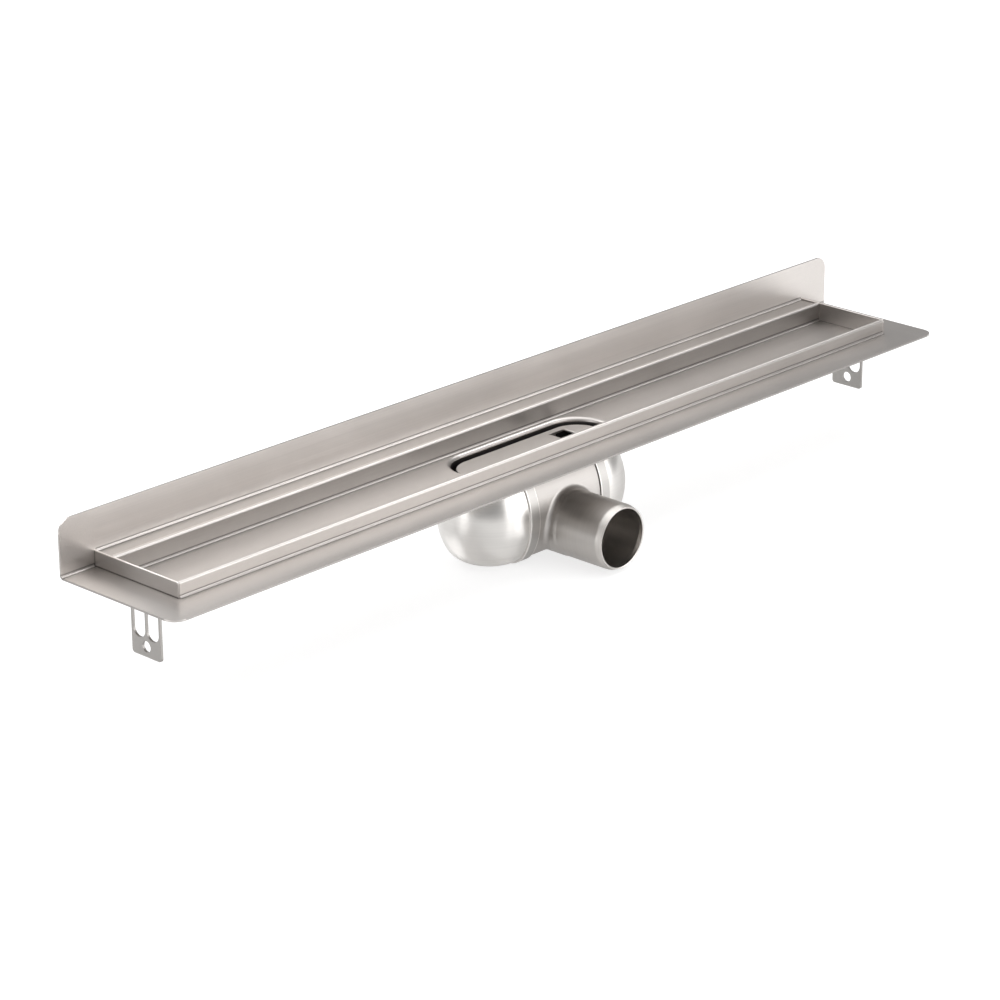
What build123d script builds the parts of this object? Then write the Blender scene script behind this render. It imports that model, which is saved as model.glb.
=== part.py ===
from build123d import *
import math
import os

# Linear shower channel with a water trap under its middle and an outlet spigot to the front.
# X runs along the channel, -Y points to the front, Z is up, all in millimetres.
# The origin is under the middle of the trap, on the plane that its bands stand on.

os.makedirs("parts", exist_ok=True)

# Channel sheet
sheet = 1.5
channel_length = 800.0
trough_width = 65.4
trough_depth = 15.9
rim_fold_gap = 1.0
rim_rise = 12.2
ledge_width = 16.3
ledge_drop = 1.2
wall_flange_rise = 43.4
front_flange_width = 30.7
flange_height = 84.4
fold_radius = 1.5
rim_edge_radius = 1.9
rim_step_radius = 0.7
rim_inside_radius = 0.4

# Ends of the channel
end_flange_width = 31.0
end_plate_thickness = 1.5
end_plate_edge_radius = 0.5
flange_corner_radius = 11.0

# Opening in the trough floor
opening_length = 160.0
opening_width = 54.0
collar_radius = 3.0
collar_depth = 7.0

# Trap body
trap_sheet = 1.5
trap_half_width = 41.2
trap_height = 65.6
trap_waist_height = 37.5
trap_side_radius = 55.0
trap_corner_radius = 22.4
bowl_axis = 48.7
neck_straight = 4.0
weld_clearance = 0.1

# Bands round the trap
band_width = 11.0
band_proud = 1.2
band_middle = 40.5
band_edge_radius = 0.7

# Outlet
outlet_diameter = 53.0
outlet_wall = 1.5
outlet_lift = 0.9
outlet_reach = 95.7
outlet_collar_length = 4.2
outlet_collar_fillet = 3.6
outlet_collar_proud = 0.4
outlet_root = 1.6
outlet_taper = 3.0
mouth_length = 4.8
mouth_depth = 1.7
mouth_bend_radius = 8.0
mouth_lip_radius = 0.4

# Lift-out insert
cover_gap = 4.5
cover_drop = 4.0
cover_thickness = 1.5
cover_edge_radius = 1.0
skirt_inset = 3.0
skirt_thickness = 1.0
skirt_lift = 6.5
leg_width = 8.0
leg_inset = 16.5
grip_inset = 20.0
grip_ramp = 22.0
grip_width = 31.0
grip_depth = 9.0
grip_cup_wall = 0.8
grip_cup_undercut = 5.0
grip_cup_radius = 3.0
grip_roll_radius = 1.1
port_length = 44.0
port_height = 9.0
port_drop = 8.0
gasket_thickness = 3.0
gasket_width = 3.0

# Outlet chamber inside the trap
chamber_margin = 2.0
chamber_wall = 1.0
chamber_roof_drop = 2.8

# Anchor brackets
bracket_sheet = 2.0
bracket_width = 31.0
bracket_drop = 50.3
bracket_foot = 16.0
bracket_fold_radius = 1.0
bracket_corner_radius = 2.5
slot_width = 13.0
slot_low = 36.7
slot_high = 7.2
slot_spacing = 14.5
bolt_hole_diameter = 8.8
bolt_hole_drop = 42.3

# Places worked out from the sizes above
floor_top = flange_height + rim_rise - trough_depth
floor_underside = floor_top - sheet
rim_top = flange_height + rim_rise
ledge_top = rim_top - ledge_drop
rim_width = 2 * sheet + rim_fold_gap
trough_half = trough_width / 2
rim_outer = trough_half + rim_width
wall_face = rim_outer + ledge_width
front_edge = rim_outer + front_flange_width
wall_top = flange_height + wall_flange_rise
channel_end = channel_length / 2
plate_outer = channel_end + end_plate_thickness

opening_radius = opening_width / 2
opening_centres = opening_length - opening_width

trap_bottom = band_proud
trap_floor = trap_bottom + trap_sheet
trap_rim = trap_bottom + trap_height
waist = trap_bottom + trap_waist_height
side_centre = trap_half_width - trap_side_radius
corner_height = trap_bottom + trap_corner_radius
corner_centre = side_centre + math.sqrt(
    (trap_side_radius - trap_corner_radius) ** 2 - (waist - corner_height) ** 2
)
corner_start = math.degrees(math.atan2(corner_height - waist, corner_centre - side_centre))


def trap_half_section(inset=0.0, mode=Mode.ADD):
    """Half of the trap's upright section: an arched side, a round bottom corner and a flat floor."""
    side_radius = trap_side_radius - inset
    rim_angle = math.degrees(math.asin((trap_rim - waist) / side_radius))
    with BuildLine() as outline:
        side = CenterArc((side_centre, waist), side_radius, rim_angle, corner_start - rim_angle)
        corner = CenterArc(
            (corner_centre, corner_height), trap_corner_radius - inset, corner_start, -90 - corner_start
        )
        Polyline(corner @ 1, (0, trap_bottom + inset), (0, trap_rim), side @ 0)
    make_face(outline.edges(), mode=mode)


def trap_section(inset=0.0, mode=Mode.ADD):
    """The trap's whole upright section, across the channel."""
    with BuildSketch(mode=Mode.PRIVATE) as whole:
        trap_half_section(inset)
        mirror(about=Plane.YZ)
    add(whole.sketch, mode=mode)


def rim_half_width(inset=0.0):
    """Half the trap's width at its rim."""
    return side_centre + math.sqrt((trap_side_radius - inset) ** 2 - (trap_rim - waist) ** 2)


# The channel is one folded sheet: wall flange, ledge, back rim, trough, front rim and front flange.
# The opening in its floor has a collar pulled down round it.
face_line = [
    (wall_face, wall_top),
    (wall_face, ledge_top),
    (rim_outer, ledge_top),
    (rim_outer, rim_top),
    (trough_half, rim_top),
    (trough_half, floor_top),
    (-trough_half, floor_top),
    (-trough_half, rim_top),
    (-rim_outer, rim_top),
    (-rim_outer, flange_height),
    (-front_edge, flange_height),
]
inner_folds = [face_line[1], face_line[5], face_line[6], face_line[9]]
outer_folds = [
    (wall_face + sheet, ledge_top - sheet),
    (trough_half + sheet, floor_underside),
    (-trough_half - sheet, floor_underside),
    (-rim_outer + sheet, flange_height - sheet),
]
rim_edges = [face_line[4], face_line[7], face_line[8]]
rim_insides = [
    face_line[2],
    (rim_outer - sheet, ledge_top - sheet),
    (rim_outer - sheet, rim_top - sheet),
    (trough_half + sheet, rim_top - sheet),
    (-trough_half - sheet, rim_top - sheet),
    (-rim_outer + sheet, rim_top - sheet),
]


def fold_corners(section, points):
    """The corners of a section that lie at the given points."""
    return [section.vertices().sort_by_distance(point)[0] for point in points]


with BuildPart() as channel_trough:
    with BuildSketch(Plane.YZ) as channel_section:
        with BuildLine():
            Polyline(face_line)
            offset(amount=sheet, side=Side.LEFT, kind=Kind.INTERSECTION)
        make_face()
        fillet(fold_corners(channel_section, inner_folds), fold_radius)
        fillet(fold_corners(channel_section, outer_folds), fold_radius + sheet)
        fillet(fold_corners(channel_section, rim_edges), rim_edge_radius)
        fillet(fold_corners(channel_section, [face_line[3]]), rim_step_radius)
        fillet(fold_corners(channel_section, rim_insides), rim_inside_radius)
    extrude(amount=channel_end, both=True)
    with BuildSketch(Plane.XY.offset(floor_underside)):
        SlotCenterToCenter(opening_centres, opening_width + 2 * sheet)
    extrude(amount=sheet - collar_depth)
    collar_root = channel_trough.edges(Select.LAST).group_by(Axis.Z)[-1]
    fillet(collar_root, collar_radius - sheet)
    with BuildSketch(Plane.XY.offset(floor_top)):
        SlotCenterToCenter(opening_centres, opening_width)
    extrude(amount=-collar_depth, mode=Mode.SUBTRACT)
    opening_edge = channel_trough.edges(Select.LAST).group_by(Axis.Z)[-1]
    fillet(opening_edge, collar_radius)
channel_trough.part.label = "channel_trough"
export_step(channel_trough.part, "parts/channel_trough.step")

# Each end has a flange folded up into the wall flange, a plate with a rounded top edge that
# closes the trough, and an anchor bracket hung under the trough's floor.
for side, end in ((1, "right"), (-1, "left")):
    with BuildPart() as end_flange:
        with BuildSketch(Plane.YZ.offset(side * channel_end)) as end_section:
            with BuildLine():
                Polyline((wall_face, wall_top), (wall_face, flange_height), (-front_edge, flange_height))
                offset(amount=sheet, side=Side.LEFT, kind=Kind.INTERSECTION)
            make_face()
            fillet(fold_corners(end_section, [(wall_face, flange_height)]), fold_radius)
            outside = (wall_face + sheet, flange_height - sheet)
            fillet(fold_corners(end_section, [outside]), fold_radius + sheet)
        extrude(amount=side * (end_plate_thickness + end_flange_width))
        front_edges = end_flange.edges().filter_by(Axis.Z).group_by(Axis.Y)[0]
        top_edges = end_flange.edges().filter_by(Axis.Y).group_by(Axis.Z)[-1]
        outermost = -1 if side > 0 else 0
        outer_corners = [edges.sort_by(Axis.X)[outermost] for edges in (front_edges, top_edges)]
        fillet(outer_corners, flange_corner_radius)
        with BuildSketch(Plane.YZ.offset(side * channel_end)):
            with Locations((0, flange_height)):
                Rectangle(2 * rim_outer, 4 * sheet)
            with Locations((rim_outer, flange_height)):
                Rectangle(ledge_width, 4 * sheet, align=(Align.MIN, Align.CENTER))
        extrude(amount=side * end_plate_thickness, mode=Mode.SUBTRACT)
    end_flange.part.label = f"end_flange_{end}"
    export_step(end_flange.part, f"parts/end_flange_{end}.step")

    with BuildPart() as end_plate:
        with BuildSketch(Plane.YZ.offset(side * channel_end)):
            with Locations((-rim_outer, floor_underside)):
                Rectangle(rim_outer + wall_face, rim_top - floor_underside, align=Align.MIN)
        extrude(amount=side * end_plate_thickness)
        front_corner = end_plate.edges().filter_by(Axis.X).group_by(Axis.Y)[0].sort_by(Axis.Z)[-1]
        fillet(front_corner, rim_edge_radius)
        top_edges = end_plate.edges().filter_by(Axis.Y).group_by(Axis.Z)[-1]
        fillet(top_edges, end_plate_edge_radius)
    end_plate.part.label = f"end_plate_{end}"
    export_step(end_plate.part, f"parts/end_plate_{end}.step")

    with BuildPart() as anchor_bracket:
        with BuildSketch(Plane.XZ) as bracket_section:
            with BuildLine():
                Polyline(
                    (side * (plate_outer - bracket_foot), floor_underside - bracket_sheet),
                    (side * (plate_outer - bracket_sheet), floor_underside - bracket_sheet),
                    (side * (plate_outer - bracket_sheet), floor_underside - bracket_drop),
                    (side * plate_outer, floor_underside - bracket_drop),
                    (side * plate_outer, floor_underside),
                    (side * (plate_outer - bracket_foot), floor_underside),
                    close=True,
                )
            make_face()
            inner = (side * (plate_outer - bracket_sheet), floor_underside - bracket_sheet)
            fillet(fold_corners(bracket_section, [inner]), bracket_fold_radius)
            outer = (side * plate_outer, floor_underside)
            fillet(fold_corners(bracket_section, [outer]), bracket_fold_radius + bracket_sheet)
        extrude(amount=bracket_width / 2, both=True)
        fillet(anchor_bracket.edges().filter_by(Axis.X).group_by(Axis.Z)[0], bracket_corner_radius)
        with BuildSketch(Plane.YZ.offset(side * plate_outer)):
            with Locations((0, floor_underside - (slot_low + slot_high) / 2)):
                with GridLocations(slot_spacing, 0, 2, 1):
                    SlotOverall(slot_low - slot_high, slot_width, rotation=90)
            with Locations((0, floor_underside - bolt_hole_drop)):
                Circle(bolt_hole_diameter / 2)
        extrude(amount=-side * bracket_sheet, mode=Mode.SUBTRACT)
    anchor_bracket.part.label = f"anchor_bracket_{end}"
    export_step(anchor_bracket.part, f"parts/anchor_bracket_{end}.step")

# The trap's neck is a formed ring. It slides over the floor opening's collar and widens to the trap's rim.
neck_top = floor_top - collar_radius
neck_shoulder = neck_top - neck_straight
neck_outer = opening_width + 2 * (sheet + weld_clearance + trap_sheet)
neck_inner = opening_width + 2 * (sheet + weld_clearance)
with BuildPart() as trap_neck:
    with BuildSketch(Plane.XY.offset(trap_rim)):
        SlotCenterToCenter(2 * bowl_axis, 2 * rim_half_width())
    with BuildSketch(Plane.XY.offset(neck_shoulder)) as shoulder_outside:
        SlotCenterToCenter(opening_centres, neck_outer)
    loft()
    extrude(shoulder_outside.sketch, amount=neck_straight)
    with BuildSketch(Plane.XY.offset(trap_rim)):
        SlotCenterToCenter(2 * bowl_axis, 2 * rim_half_width(trap_sheet))
    with BuildSketch(Plane.XY.offset(neck_shoulder)) as shoulder_inside:
        SlotCenterToCenter(opening_centres, neck_inner)
    loft(mode=Mode.SUBTRACT)
    extrude(shoulder_inside.sketch, amount=neck_straight, mode=Mode.SUBTRACT)
trap_neck.part.label = "trap_neck"
export_step(trap_neck.part, "parts/trap_neck.step")

# Each end of the trap is a deep-drawn half bowl, turned about an upright axis,
# with a straight stretch that meets the middle under a band.
for side, end in ((1, "right"), (-1, "left")):
    with BuildPart() as trap_bowl:
        with BuildSketch(Plane.YZ.offset(side * bowl_axis)):
            trap_half_section()
            trap_half_section(trap_sheet, mode=Mode.SUBTRACT)
        revolve(axis=Axis((side * bowl_axis, 0, 0), (0, 0, 1)), revolution_arc=-side * 180)
        with BuildSketch(Plane.YZ.offset(side * bowl_axis)):
            trap_section()
            trap_section(trap_sheet, mode=Mode.SUBTRACT)
        extrude(amount=-side * (bowl_axis - band_middle))
    trap_bowl.part.label = f"trap_bowl_{end}"
    export_step(trap_bowl.part, f"parts/trap_bowl_{end}.step")

    with BuildPart() as trap_band:
        with BuildSketch(Plane.YZ.offset(side * (band_middle - band_width / 2))):
            trap_section(-band_proud)
        extrude(amount=side * band_width)
        rounded = trap_band.edges().filter_by(Axis.X, reverse=True)
        fillet([edge for edge in rounded if edge.center().Z < trap_rim - band_proud], band_edge_radius)
        with BuildSketch(Plane.YZ.offset(side * (band_middle - band_width / 2))):
            trap_section()
        extrude(amount=side * band_width, mode=Mode.SUBTRACT)
    trap_band.part.label = f"trap_band_{end}"
    export_step(trap_band.part, f"parts/trap_band_{end}.step")

# The middle of the trap is a bent sheet with a round collar pulled out of its front wall.
# The collar's rim keeps an even distance from the wall.
outlet_radius = outlet_diameter / 2
outlet_bore = outlet_radius - outlet_wall
outlet_height = trap_bottom + outlet_lift + outlet_radius
with BuildPart() as trap_middle:
    with BuildSketch(Plane.YZ):
        trap_section()
    extrude(amount=band_middle, both=True)
    with BuildSketch(Plane.XZ):
        with Locations((0, outlet_height)):
            Circle(outlet_radius + outlet_collar_proud)
    extrude(amount=outlet_reach)
    saddle = trap_middle.edges(Select.LAST).filter_by(
        lambda edge: edge.geom_type not in (GeomType.CIRCLE, GeomType.LINE)
    )
    fillet(saddle, outlet_collar_fillet)
    with BuildSketch(Plane.YZ):
        trap_section(-outlet_collar_length)
    extrude(amount=band_middle, both=True, mode=Mode.INTERSECT)
    with BuildSketch(Plane.YZ):
        trap_section(trap_sheet)
    extrude(amount=band_middle, both=True, mode=Mode.SUBTRACT)
    with BuildSketch(Plane.XZ):
        with Locations((0, outlet_height)):
            Circle(outlet_bore)
    extrude(amount=outlet_reach, mode=Mode.SUBTRACT)
trap_middle.part.label = "trap_middle"
export_step(trap_middle.part, "parts/trap_middle.step")

# The outlet spigot is a welded tube, cut to the collar's rim and as wide as the collar there.
# It narrows to the size that a pipe is pushed over, and its mouth is drawn in.
root_radius = outlet_radius + outlet_collar_proud
root_end = trap_half_width + outlet_collar_length + outlet_root
mouth_start = outlet_reach - mouth_length
with BuildPart() as outlet_spigot:
    with BuildSketch(Plane((0, 0, outlet_height), x_dir=(0, 1, 0), z_dir=(1, 0, 0))) as tube_section:
        with BuildLine():
            Polyline(
                (0, root_radius),
                (-root_end, root_radius),
                (-root_end - outlet_taper, outlet_radius),
                (-mouth_start, outlet_radius),
                (-outlet_reach, outlet_radius - mouth_depth),
            )
            offset(amount=outlet_wall, side=Side.LEFT, kind=Kind.INTERSECTION)
        make_face()
        fillet(fold_corners(tube_section, [(-mouth_start, outlet_radius)]), mouth_bend_radius)
        fillet(fold_corners(tube_section, [(-mouth_start, outlet_bore)]), mouth_bend_radius - outlet_wall)
        fillet(tube_section.vertices().sort_by(Axis.X)[:2], mouth_lip_radius)
    revolve(axis=Axis((0, 0, outlet_height), (0, 1, 0)))
    with BuildSketch(Plane.YZ):
        trap_section(-outlet_collar_length)
    extrude(amount=band_middle, both=True, mode=Mode.SUBTRACT)
outlet_spigot.part.label = "outlet_spigot"
export_step(outlet_spigot.part, "parts/outlet_spigot.step")

# The insert lifts out through the opening: a cover plate with a finger grip, and a skirt that dips
# in the water and stands on four legs. Water leaves through the port in the skirt's front.
cover_top = floor_top - cover_drop
cover_underside = cover_top - cover_thickness
cover_radius = opening_radius - cover_gap
cover_end = opening_centres / 2 + cover_radius
skirt_radius = cover_radius - skirt_inset
skirt_bottom = trap_floor + skirt_lift
chamber_roof = trap_rim - chamber_roof_drop
port_middle = chamber_roof - port_drop
beyond_floor = max(skirt_radius - corner_centre, 0)
leg_foot = corner_height - math.sqrt((trap_corner_radius - trap_sheet) ** 2 - beyond_floor**2)
with BuildPart() as insert_skirt:
    with BuildSketch(Plane.XY.offset(skirt_bottom)):
        SlotCenterToCenter(opening_centres, 2 * skirt_radius)
        SlotCenterToCenter(opening_centres, 2 * (skirt_radius - skirt_thickness), mode=Mode.SUBTRACT)
    extrude(amount=cover_underside - skirt_bottom)
    with BuildSketch(Plane.XY.offset(leg_foot)):
        with GridLocations(opening_centres - 2 * leg_inset, 2 * skirt_radius - skirt_thickness, 2, 2):
            Rectangle(leg_width, skirt_thickness)
    extrude(amount=skirt_bottom - leg_foot)
    with BuildSketch(Plane.XZ):
        with Locations((0, port_middle)):
            SlotOverall(port_length, port_height)
    extrude(amount=skirt_radius, mode=Mode.SUBTRACT)
insert_skirt.part.label = "insert_skirt"
export_step(insert_skirt.part, "parts/insert_skirt.step")

grip_edge = cover_end - grip_inset
grip_start = grip_edge - grip_ramp
with BuildPart() as insert_cover:
    with BuildSketch(Plane.XY.offset(cover_underside)):
        SlotCenterToCenter(opening_centres, 2 * cover_radius)
    extrude(amount=cover_thickness)
    fillet(insert_cover.edges().group_by(Axis.Z)[-1], cover_edge_radius)
    with BuildSketch(Plane.XY.offset(cover_underside)):
        with Locations((grip_start + grip_ramp / 2, 0)):
            Rectangle(grip_ramp, grip_width)
    extrude(amount=cover_thickness, mode=Mode.SUBTRACT)
    with BuildSketch(Plane.XZ):
        with Locations((grip_edge, cover_top - grip_roll_radius)):
            Circle(grip_roll_radius)
    extrude(amount=grip_width / 2, both=True)
insert_cover.part.label = "insert_cover"
export_step(insert_cover.part, "parts/insert_cover.step")

# The finger cup is pressed from thin sheet: a curved ramp from the cover down under the grip edge,
# a back wall, and two cheeks that close its sides below the cover.
grip_floor = cover_top - grip_depth
grip_back = grip_edge + grip_cup_undercut
ramp_middle = (grip_start + grip_ramp / 2, cover_top - grip_depth / 2)
with BuildPart() as grip_cup:
    with BuildSketch(Plane.XZ) as cup_sheet:
        with BuildLine():
            upper_ramp = TangentArc((grip_start, cover_top), ramp_middle, tangent=(1, 0))
            lower_ramp = TangentArc(ramp_middle, (grip_edge, grip_floor), tangent=upper_ramp % 1)
            FilletPolyline(
                lower_ramp @ 1, (grip_back, grip_floor), (grip_back, cover_underside), radius=grip_cup_radius
            )
            offset(amount=grip_cup_wall, side=Side.RIGHT)
        make_face()
    extrude(amount=grip_width / 2, both=True)
    for side in (1, -1):
        with BuildSketch(Plane.XZ.offset(side * grip_width / 2)):
            with BuildLine():
                add(upper_ramp)
                add(lower_ramp)
                back = FilletPolyline(
                    lower_ramp @ 1,
                    (grip_back, grip_floor),
                    (grip_back, cover_underside),
                    radius=grip_cup_radius,
                )
                Polyline(back @ 1, (grip_back, cover_top), (grip_start, cover_top))
            make_face()
            add(cup_sheet.sketch_local)
            with Locations((grip_edge, cover_underside)):
                below_cover = (Align.CENTER, Align.MAX)
                Rectangle(4 * grip_ramp, 2 * grip_depth, align=below_cover, mode=Mode.INTERSECT)
        extrude(amount=side * grip_cup_wall)
grip_cup.part.label = "grip_cup"
export_step(grip_cup.part, "parts/grip_cup.step")

# The outlet chamber is a folded box against the trap's front wall, closed but for the port in its back
# and open to the outlet. A rubber ring joins its port to the skirt's.
chamber_back = skirt_radius + gasket_thickness
chamber_half = outlet_bore + chamber_margin + chamber_wall
with BuildPart() as outlet_chamber:
    with BuildSketch(Plane.YZ):
        trap_section(trap_sheet)
        with Locations((-chamber_back, trap_floor)):
            chamber_rise = chamber_roof - trap_floor
            Rectangle(trap_half_width, chamber_rise, align=(Align.MAX, Align.MIN), mode=Mode.INTERSECT)
    extrude(amount=chamber_half, both=True)
    with BuildSketch(Plane.YZ):
        with Locations((-chamber_back - chamber_wall, 0)):
            Rectangle(trap_half_width, chamber_roof - chamber_wall, align=(Align.MAX, Align.MIN))
    extrude(amount=chamber_half - chamber_wall, both=True, mode=Mode.SUBTRACT)
    with BuildSketch(Plane.XZ.offset(chamber_back)):
        with Locations((0, port_middle)):
            SlotOverall(port_length, port_height)
    extrude(amount=chamber_wall, mode=Mode.SUBTRACT)
outlet_chamber.part.label = "outlet_chamber"
export_step(outlet_chamber.part, "parts/outlet_chamber.step")

with BuildPart() as port_gasket:
    with BuildSketch(Plane.XZ.offset(skirt_radius)):
        with Locations((0, port_middle)):
            SlotOverall(port_length + 2 * gasket_width, port_height + 2 * gasket_width)
            SlotOverall(port_length, port_height, mode=Mode.SUBTRACT)
    extrude(amount=gasket_thickness)
port_gasket.part.label = "port_gasket"
export_step(port_gasket.part, "parts/port_gasket.step")
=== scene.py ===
import math

import bpy
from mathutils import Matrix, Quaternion, Vector


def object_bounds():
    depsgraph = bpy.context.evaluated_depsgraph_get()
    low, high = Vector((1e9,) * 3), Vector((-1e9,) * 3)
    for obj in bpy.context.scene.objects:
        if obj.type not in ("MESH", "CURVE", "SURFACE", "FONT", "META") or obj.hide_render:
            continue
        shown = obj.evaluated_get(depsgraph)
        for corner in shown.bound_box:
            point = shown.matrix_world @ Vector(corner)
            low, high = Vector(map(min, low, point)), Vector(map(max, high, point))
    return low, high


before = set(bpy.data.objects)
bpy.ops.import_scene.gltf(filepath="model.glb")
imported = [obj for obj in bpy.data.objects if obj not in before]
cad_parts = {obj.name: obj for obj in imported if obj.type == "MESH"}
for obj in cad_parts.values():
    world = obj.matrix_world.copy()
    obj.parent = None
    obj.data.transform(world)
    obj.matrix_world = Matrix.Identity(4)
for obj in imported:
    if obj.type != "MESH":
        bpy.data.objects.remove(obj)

cad_box = [list(corner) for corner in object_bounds()]

# The camera stands to the left and the front of the drain, a metre above the floor.
# Its long lens looks down across the channel, to the right and the back.
view_turn = math.radians(46.42)
view_drop = math.radians(21.0)
view_roll = math.radians(-0.32)
camera_data = bpy.data.cameras.new("camera")
camera_data.lens = 125.59
camera_data.sensor_width = 36.0
camera = bpy.data.objects.new("camera", camera_data)
camera.location = (-1.87703, -1.75150, 1.02095)
look = Vector((math.sin(view_turn), math.cos(view_turn), -math.tan(view_drop)))
camera.rotation_mode = "QUATERNION"
camera.rotation_quaternion = look.to_track_quat("-Z", "Y") @ Quaternion((0, 0, 1), view_roll)
bpy.context.collection.objects.link(camera)
bpy.context.scene.camera = camera
bpy.context.scene.view_settings.view_transform = "Standard"


# The studio is a pale paper floor that runs out of sight, under a sky that is dim low down and brightest
# overhead. The camera sees the paper as white, with the drain's soft shadow on it. The steel mirrors half
# of that white and half of the plain lit paper, which has a soft sheen.
class Wire:
    """A socket of a node tree that can stand in a sum."""

    def __init__(self, tree, socket):
        self.tree = tree
        self.socket = socket

    def math(self, operation, first, second):
        return self.tree.node("ShaderNodeMath", {"operation": operation}, _0=first, _1=second)

    def __add__(self, other):
        return self.math("ADD", self, other)

    def __sub__(self, other):
        return self.math("SUBTRACT", self, other)

    def __rsub__(self, other):
        return self.math("SUBTRACT", other, self)

    def __mul__(self, other):
        return self.math("MULTIPLY", self, other)

    __radd__ = __add__
    __rmul__ = __mul__


class Finish:
    """The node tree of one finish, or of the studio's sky."""

    def __init__(self, name, owner=None):
        self.owner = owner or bpy.data.materials.new(name)
        self.owner.use_nodes = True
        self.nodes = self.owner.node_tree.nodes
        self.nodes.clear()

    def node(self, kind, settings=None, output=0, **sockets):
        """Adds a node. Its sockets go by name, or by number as in _0.

        A new ramp has two stops, so its lowest and highest are given before the others.
        """
        made = self.nodes.new(kind)
        for name, value in (settings or {}).items():
            if name == "stops":
                ramp = made.color_ramp.elements
                for place, (position, shade) in enumerate(value):
                    stop = ramp[place] if place < 2 else ramp.new(position)
                    stop.position = position
                    stop.color = (*shade, 1)
            else:
                setattr(made, name, value)
        for name, value in sockets.items():
            socket = made.inputs[int(name[1:]) if name[1:].isdigit() else name.replace("_", " ")]
            if isinstance(value, Wire):
                self.owner.node_tree.links.new(value.socket, socket)
            else:
                socket.default_value = value
        return Wire(self, made.outputs[output]) if made.outputs else None


floor_size = 60.0
mirrored_white = 0.5
sheen_share = 0.5
paper = Finish("studio_paper")
seen = (
    paper.node("ShaderNodeLightPath", output="Is Camera Ray")
    + paper.node("ShaderNodeLightPath", output="Is Glossy Ray") * mirrored_white
    + paper.node("ShaderNodeLightPath", output="Is Transmission Ray")
)
matt_paper = paper.node("ShaderNodeBsdfDiffuse", Color=(0.8, 0.8, 0.8, 1))
paper_sheen = paper.node("ShaderNodeBsdfGlossy", Color=(0.9, 0.9, 0.9, 1), Roughness=0.14)
plain_paper = paper.node("ShaderNodeMixShader", Fac=sheen_share, _1=matt_paper, _2=paper_sheen)
shadow_paper = paper.node("ShaderNodeBsdfDiffuse", Color=(0.4, 0.4, 0.4, 1))
glow = paper.node("ShaderNodeEmission", Color=(1, 1, 1, 1), Strength=0.72)
white_paper = paper.node("ShaderNodeAddShader", _0=shadow_paper, _1=glow)
paper_look = paper.node("ShaderNodeMixShader", Fac=seen, _1=plain_paper, _2=white_paper)
paper.node("ShaderNodeOutputMaterial", Surface=paper_look)

ground = cad_box[0][2]
bpy.ops.object.select_all(action="DESELECT")
bpy.ops.mesh.primitive_plane_add(size=floor_size, location=(0, 0, ground))
studio_floor = bpy.context.object
studio_floor.name = "studio_floor"
studio_floor.data.materials.append(paper.owner)

sky_greys = ((0.0, 0.2), (0.95, 1.0), (0.45, 0.22), (0.7, 0.6))
sky = Finish("studio_sky", bpy.data.worlds.new("studio_sky"))
bpy.context.scene.world = sky.owner
sky_direction = sky.node("ShaderNodeTexCoord", output="Generated")
sky_height = sky.node("ShaderNodeSeparateXYZ", output="Z", Vector=sky_direction)
sky_shade = sky.node(
    "ShaderNodeValToRGB",
    {"stops": [(height, (grey, grey, grey)) for height, grey in sky_greys]},
    Fac=sky_height,
)
seen_sky = sky.node("ShaderNodeLightPath", output="Is Camera Ray")
lit_sky = sky.node("ShaderNodeBackground", Color=sky_shade, Strength=1.5)
white_sky = sky.node("ShaderNodeBackground", Color=(1, 1, 1, 1), Strength=1.0)
sky_look = sky.node("ShaderNodeMixShader", Fac=seen_sky, _1=lit_sky, _2=white_sky)
sky.node("ShaderNodeOutputWorld", Surface=sky_look)

# Softboxes stand round the drain, out of the camera's sight, mostly where a face of the steel mirrors them.
# The narrow one in front is for the upright streaks on the trap's bowls.
channel_middle = Vector((0, 0, 0.06))


def softbox(name, place, width, height, power):
    """A rectangular lamp that faces the middle of the channel, in metres and watts."""
    data = bpy.data.lights.new(name, "AREA")
    data.shape = "RECTANGLE"
    data.size = width
    data.size_y = height
    data.energy = power
    lamp = bpy.data.objects.new(name, data)
    lamp.location = place
    lamp.rotation_mode = "QUATERNION"
    lamp.rotation_quaternion = (channel_middle - Vector(place)).to_track_quat("-Z", "Y")
    lamp.visible_camera = False
    bpy.context.collection.objects.link(lamp)


softbox("front_softbox", (0.75, -1.5, 0.5), 1.2, 0.9, 11)
softbox("streak_softbox", (-0.12, -1.7, 0.5), 0.24, 1.0, 2.6)
softbox("right_softbox", (1.2, -0.25, 1.6), 0.7, 0.7, 7)
softbox("rear_softbox", (-0.65, 1.23, 1.35), 1.4, 0.8, 8)
softbox("overhead_softbox", (0.1, 0.1, 2.2), 1.6, 1.2, 4)
softbox("back_softbox", (0.2, 1.1, 0.65), 0.8, 0.5, 0.8)
softbox("left_softbox", (-1.7, 0.3, 0.45), 0.7, 0.8, 5)

# The channel is one long folded stainless sheet with a satin mill finish, whose fine grain runs along it.
# A painted shade line runs on each side of a fold, and the bend is painted darker. The front edge, the wall
# flange's top edge, the trough's back wall, the ledge and the ledge's ends at the end plates are painted
# darker as painted shade. So is the opening's collar, for the dark gap round the insert. All but the wall
# flange is painted darker, so the wall flange shows lighter, as painted light.
flange_top = 0.0844
floor_top = 0.0807
trough_side = 0.0327
rim_side = 0.0367
ledge_top = 0.0954
wall_side = 0.0530
wall_top = 0.1278
front_edge = 0.0674
channel_end = 0.4000
plate_outer = 0.4015
opening_end = 0.0805
opening_side = 0.0275
collar_top = floor_top - 0.003
wall_front = wall_side - 0.0008
cut_skin = 0.00002

# Painted shade along each fold: a dark line on each side of it, and the bend itself painted darker.
press_line = 0.0019
line_fade = 0.0008
line_core = 0.0002
line_dullness = 0.5
bend_reach = press_line * 0.6
bend_dullness = 0.35
cloud_share = 0.55
line_share = 0.45
cloud_roughness = 0.06


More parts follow.
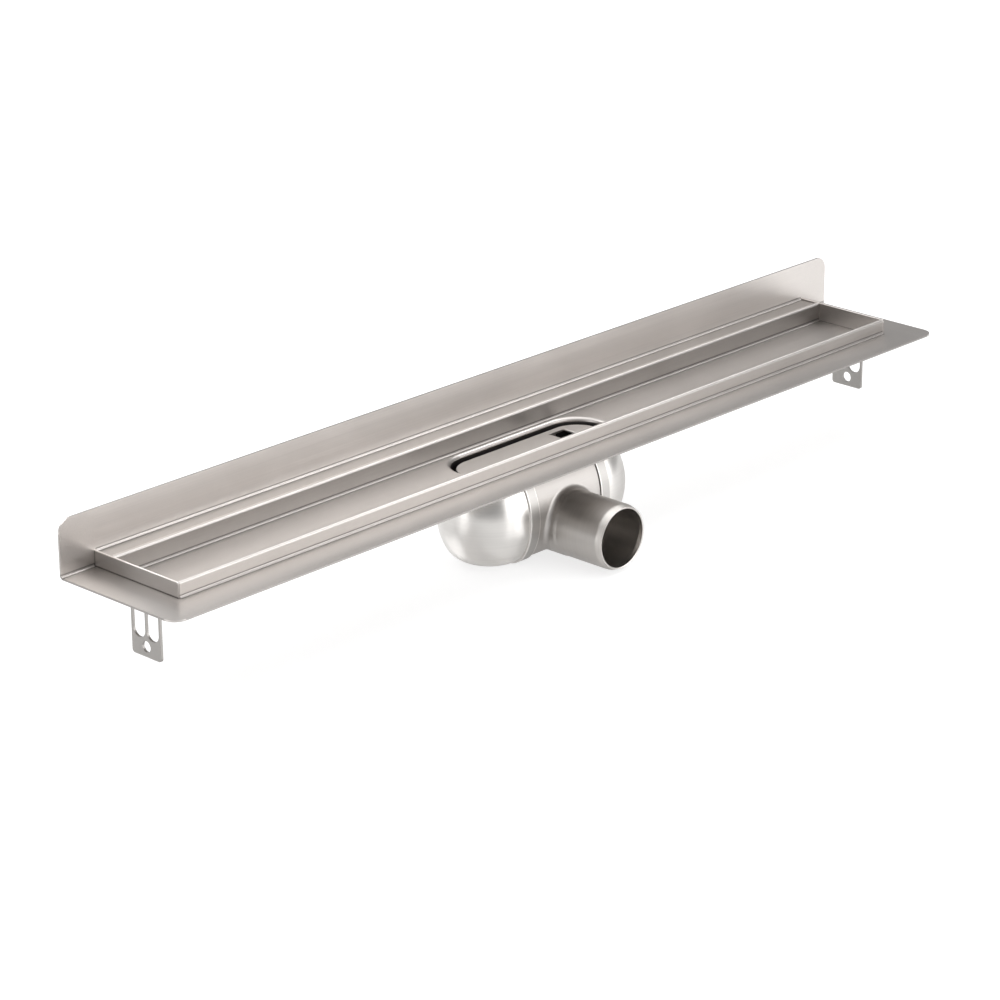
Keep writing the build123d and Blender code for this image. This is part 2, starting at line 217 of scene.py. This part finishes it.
def satin_steel(name, colour, roughness, grain_scale, grain, folds=(), dull_zones=()):
    """Stainless steel with a fine grain and cloudy patches, painted shade along its folds, and zones
    painted darker.

    A fold is its corner's Y and Z. A darker zone is how much it darkens the colour, then its limits along
    |X|, Y and Z, where 1 metre stands for no limit. The zones are painted shade, or they darken all else so
    that an edge shows a painted highlight and a face shows painted light.
    """
    steel = Finish(name)
    place = steel.node("ShaderNodeTexCoord", output="Object")
    stretched = steel.node("ShaderNodeMapping", Vector=place, Scale=grain_scale)
    lines = steel.node("ShaderNodeTexNoise", Vector=stretched, Scale=1.0, Detail=3.0)
    clouds = steel.node("ShaderNodeTexNoise", Vector=place, Scale=14.0, Detail=4.0)
    brightness = 1.0
    across = steel.node("ShaderNodeMapping", Vector=place, Scale=(0, 1, 1))
    for fold_y, fold_z in folds:
        corner = (0, fold_y, fold_z)
        away = steel.node("ShaderNodeVectorMath", {"operation": "DISTANCE"}, "Value", _0=across, _1=corner)
        off_line = steel.node("ShaderNodeMath", {"operation": "ABSOLUTE"}, _0=away - press_line)
        line = steel.node(
            "ShaderNodeMapRange",
            {"interpolation_type": "SMOOTHSTEP"},
            Value=off_line,
            From_Min=line_fade,
            From_Max=line_core,
        )
        inside = steel.node("ShaderNodeMath", {"operation": "LESS_THAN"}, _0=away, _1=bend_reach)
        brightness = brightness * (1 - line * line_dullness) * (1 - inside * bend_dullness)
    for dullness, *limits in dull_zones:
        zone = dullness
        for axis, (low, high) in zip("XYZ", limits):
            along = steel.node("ShaderNodeSeparateXYZ", output=axis, Vector=place)
            if axis == "X":
                along = steel.node("ShaderNodeMath", {"operation": "ABSOLUTE"}, _0=along)
            for operation, limit in (("GREATER_THAN", low), ("LESS_THAN", high)):
                if abs(limit) < 1:
                    zone = zone * steel.node("ShaderNodeMath", {"operation": operation}, _0=along, _1=limit)
        brightness = brightness * (1 - zone)
    darkest = [0.95 * part for part in colour]
    lightest = [1.04 * part for part in colour]
    shade = steel.node(
        "ShaderNodeValToRGB",
        {"stops": ((0.3, darkest), (0.7, lightest))},
        Fac=clouds * cloud_share + lines * line_share,
    )
    tone = shade
    if folds or dull_zones:
        # The colours of a Mix node are its sockets 6 and 7, and its output 2.
        black = (0, 0, 0, 1)
        tone = steel.node("ShaderNodeMix", {"data_type": "RGBA"}, 2, _0=brightness, _6=black, _7=shade)
    # Each noise averages a half, so half of what it adds is taken off.
    grain_roughness = grain * 0.4
    smoothest = roughness - cloud_roughness / 2 - grain_roughness / 2
    skin = steel.node(
        "ShaderNodeBsdfPrincipled",
        Base_Color=tone,
        Metallic=1.0,
        Roughness=lines * grain_roughness + clouds * cloud_roughness + smoothest,
        Normal=steel.node("ShaderNodeBump", Height=lines, Strength=grain, Distance=0.0001),
    )
    steel.node("ShaderNodeOutputMaterial", Surface=skin)
    return steel.owner


def finish_nodes(material, *names):
    """Gives pieces of the frame their finish."""
    for name in names:
        for slot in bpy.data.objects[name].material_slots:
            slot.material = material


sheet_colour = (0.77, 0.73, 0.70)
everywhere = (-1.0, 1.0)
below_wall = (-1.0, wall_front)
back_wall = (trough_side - 0.0002, trough_side + 0.0004)
ledge_strip = (rim_side - 0.001, wall_front)
ledge_face = (ledge_top - 0.0005, ledge_top + 0.0005)
plate_weld = (channel_end - 0.0005, 1.0)
# The front edge and the top edge of the wall flange are painted darker, as painted shade.
cut_edges = (
    (0.35, everywhere, (-1.0, cut_skin - front_edge), everywhere),
    (0.35, everywhere, everywhere, (wall_top - cut_skin, 1.0)),
)
channel_steel = satin_steel(
    "channel_steel",
    sheet_colour,
    roughness=0.36,
    grain_scale=(6, 900, 900),
    grain=0.2,
    folds=(
        (wall_side, ledge_top),
        (trough_side, floor_top),
        (-trough_side, floor_top),
        (-rim_side, flange_top),
    ),
    dull_zones=(
        # Painted light: all but the wall flange is painted darker, so the wall flange shows lighter.
        (0.28, everywhere, below_wall, everywhere),
        # Painted shade on the trough's back wall.
        (0.22, everywhere, back_wall, (floor_top, ledge_top)),
        # Painted shade on the ledge.
        (0.25, everywhere, ledge_strip, ledge_face),
        # A painted shade line at each end of the ledge, where it meets the end plate.
        (0.6, plate_weld, (rim_side, wall_side), (flange_top, 1.0)),
        # Painted shade in the opening's collar, for the dark gap round the insert.
        (0.65, (-1.0, opening_end), (-opening_side, opening_side), (-1.0, collar_top)),
        *cut_edges,
    ),
)
finish_nodes(channel_steel, "channel_trough")

# Each end has a flange of the same sheet, folded up into the wall flange. Its grain runs across the
# channel.
# A painted shade line runs beside its fold and along the end plate's foot, and its front edge, its end edge
# and the wall flange's top edge are painted darker as painted shade. All but its wall flange is painted
# darker, so the wall flange shows lighter, as painted light.
flange_end = 0.4325
weld_line = (channel_end, plate_outer + 0.0006)
weld_length = (-rim_side - 0.0004, wall_side)
end_steel = satin_steel(
    "end_flange_steel",
    sheet_colour,
    roughness=0.36,
    grain_scale=(900, 6, 900),
    grain=0.2,
    folds=((wall_side, flange_top),),
    dull_zones=(
        # Painted light: all but the wall flange is painted darker, so the wall flange shows lighter.
        (0.28, everywhere, below_wall, everywhere),
        # A painted shade line along the end plate's foot.
        (0.6, weld_line, weld_length, everywhere),
        # The flange's end edge is painted darker, as painted shade.
        (0.35, (flange_end - cut_skin, 1.0), everywhere, everywhere),
        *cut_edges,
    ),
)
finish_nodes(end_steel, "end_flange_left", "end_flange_right")

# A plate closes the trough at each end. It is cut from the same sheet and its top edge is rounded. All but
# that top edge is painted darker, which leaves a painted highlight along it, and painted shade lines run
# along the plate's feet and down its outer face where it meets the wall flange.
plate_top = 0.0966
bright_edge = 0.0006
outer_face = (plate_outer - 0.0002, 1.0)
inner_face = (-1.0, channel_end + 0.0002)
plate_steel = satin_steel(
    "end_plate_steel",
    (0.84, 0.80, 0.77),
    roughness=0.33,
    grain_scale=(900, 6, 900),
    grain=0.2,
    dull_zones=(
        # All but the top edge is painted darker, which leaves a painted highlight along the top edge.
        (0.4, everywhere, everywhere, (-1.0, plate_top - bright_edge)),
        # Painted shade lines along the plate's feet, outside and inside.
        (0.5, outer_face, everywhere, (-1.0, flange_top + 0.0008)),
        (0.4, inner_face, everywhere, (-1.0, floor_top + 0.0006)),
        # Painted shade on the outer face where it meets the wall flange.
        (0.4, outer_face, (wall_front, 1.0), everywhere),
    ),
)
finish_nodes(plate_steel, "end_plate_left", "end_plate_right")

# The anchor brackets are folded from a thicker pickled sheet, so they are duller and darker.
# They have two long slots to adjust their height and a round hole for the bolt.
bracket_steel = satin_steel(
    "bracket_steel", (0.40, 0.385, 0.37), roughness=0.45, grain_scale=(700, 500, 9), grain=0.25
)
finish_nodes(bracket_steel, "anchor_bracket_left", "anchor_bracket_right")

# The trap's bowls are deep drawn and polished, with faint rings left by the punch.
# They are the glossiest pieces of the drain.
bowl_steel = satin_steel(
    "bowl_steel", (0.77, 0.75, 0.725), roughness=0.29, grain_scale=(9, 9, 700), grain=0.03
)
finish_nodes(bowl_steel, "trap_bowl_left", "trap_bowl_right")

# The trap's middle is pressed from satin sheet and welded to the bowls. Its finish is duller than the
# bowls' polish. The neck that joins the trap to the channel is welded on, and is painted dark as painted
# shade for the gap round the insert.
trap_steel = satin_steel(
    "trap_steel", (0.54, 0.515, 0.495), roughness=0.46, grain_scale=(6, 700, 700), grain=0.1
)
finish_nodes(trap_steel, "trap_middle")
# The neck is painted dark, as painted shade in the gap round the insert.
neck_steel = satin_steel(
    "neck_steel", (0.22, 0.205, 0.195), roughness=0.5, grain_scale=(6, 700, 700), grain=0.1
)
finish_nodes(neck_steel, "trap_neck")

# A band covers each joint of a bowl and the middle. It is pressed over the seam. Its face is painted
# darker, which leaves painted highlights along both its edges, and its flank towards the middle is painted
# dark as painted shade.
band_middle = 0.0405
band_half = 0.0055
band_edge = 0.0014
# The band's face between its edges is painted darker, which leaves painted highlights on the edges.
band_face = (band_middle - band_half + band_edge, band_middle + band_half - band_edge)
# The band's flank towards the middle is painted dark, as painted shade.
band_flank = (-1.0, band_middle - band_half + 0.0003)
band_steel = satin_steel(
    "band_steel",
    (0.76, 0.735, 0.71),
    roughness=0.4,
    grain_scale=(9, 700, 700),
    grain=0.05,
    dull_zones=((0.32, band_face, everywhere, everywhere), (0.6, band_flank, everywhere, everywhere)),
)
finish_nodes(band_steel, "trap_band_left", "trap_band_right")

# The outlet is a welded tube, ground round and round. Its drawn-in mouth slides into the seal of the
# waste pipe.
outlet_steel = satin_steel(
    "outlet_steel", (0.56, 0.535, 0.51), roughness=0.34, grain_scale=(9, 700, 9), grain=0.1
)
finish_nodes(outlet_steel, "outlet_spigot")

# The insert lifts out of the trap by the rolled edge of its cover plate. Its skirt dips in the water,
# and the chamber in front of it leads to the outlet.
insert_colour = (0.60, 0.572, 0.548)
insert_steel = satin_steel(
    "insert_steel", insert_colour, roughness=0.34, grain_scale=(6, 900, 900), grain=0.15
)
finish_nodes(insert_steel, "insert_cover", "insert_skirt", "outlet_chamber")

# The finger pocket is a small cup pressed from thin sheet, spot welded under the cover's rolled edge.
# It is as bright as the cover, but for its deep end under the rolled edge, which is painted dark as a
# painted shadow.
deep_end = 0.0445
grip_steel = satin_steel(
    "grip_steel",
    insert_colour,
    roughness=0.4,
    grain_scale=(6, 900, 900),
    grain=0.15,
    # A painted shadow at the pocket's deep end, under the rolled edge.
    dull_zones=((0.85, (deep_end, 1.0), everywhere, everywhere),),
)
finish_nodes(grip_steel, "grip_cup")

# A black rubber ring seals the skirt's port to the outlet chamber.
# It is moulded, with a matt skin like fine orange peel.
rubber = Finish("gasket_rubber")
rubber_place = rubber.node("ShaderNodeTexCoord", output="Object")
peel = rubber.node("ShaderNodeTexNoise", Vector=rubber_place, Scale=1500.0, Detail=2.0)
rubber_shade = rubber.node(
    "ShaderNodeValToRGB", {"stops": ((0.3, (0.02, 0.02, 0.02)), (0.7, (0.04, 0.04, 0.042)))}, Fac=peel
)
rubber_skin = rubber.node(
    "ShaderNodeBsdfPrincipled",
    Base_Color=rubber_shade,
    Roughness=peel * 0.2 + 0.6,
    Normal=rubber.node("ShaderNodeBump", Height=peel, Strength=0.3, Distance=0.0001),
)
rubber.node("ShaderNodeOutputMaterial", Surface=rubber_skin)
finish_nodes(rubber.owner, "port_gasket")
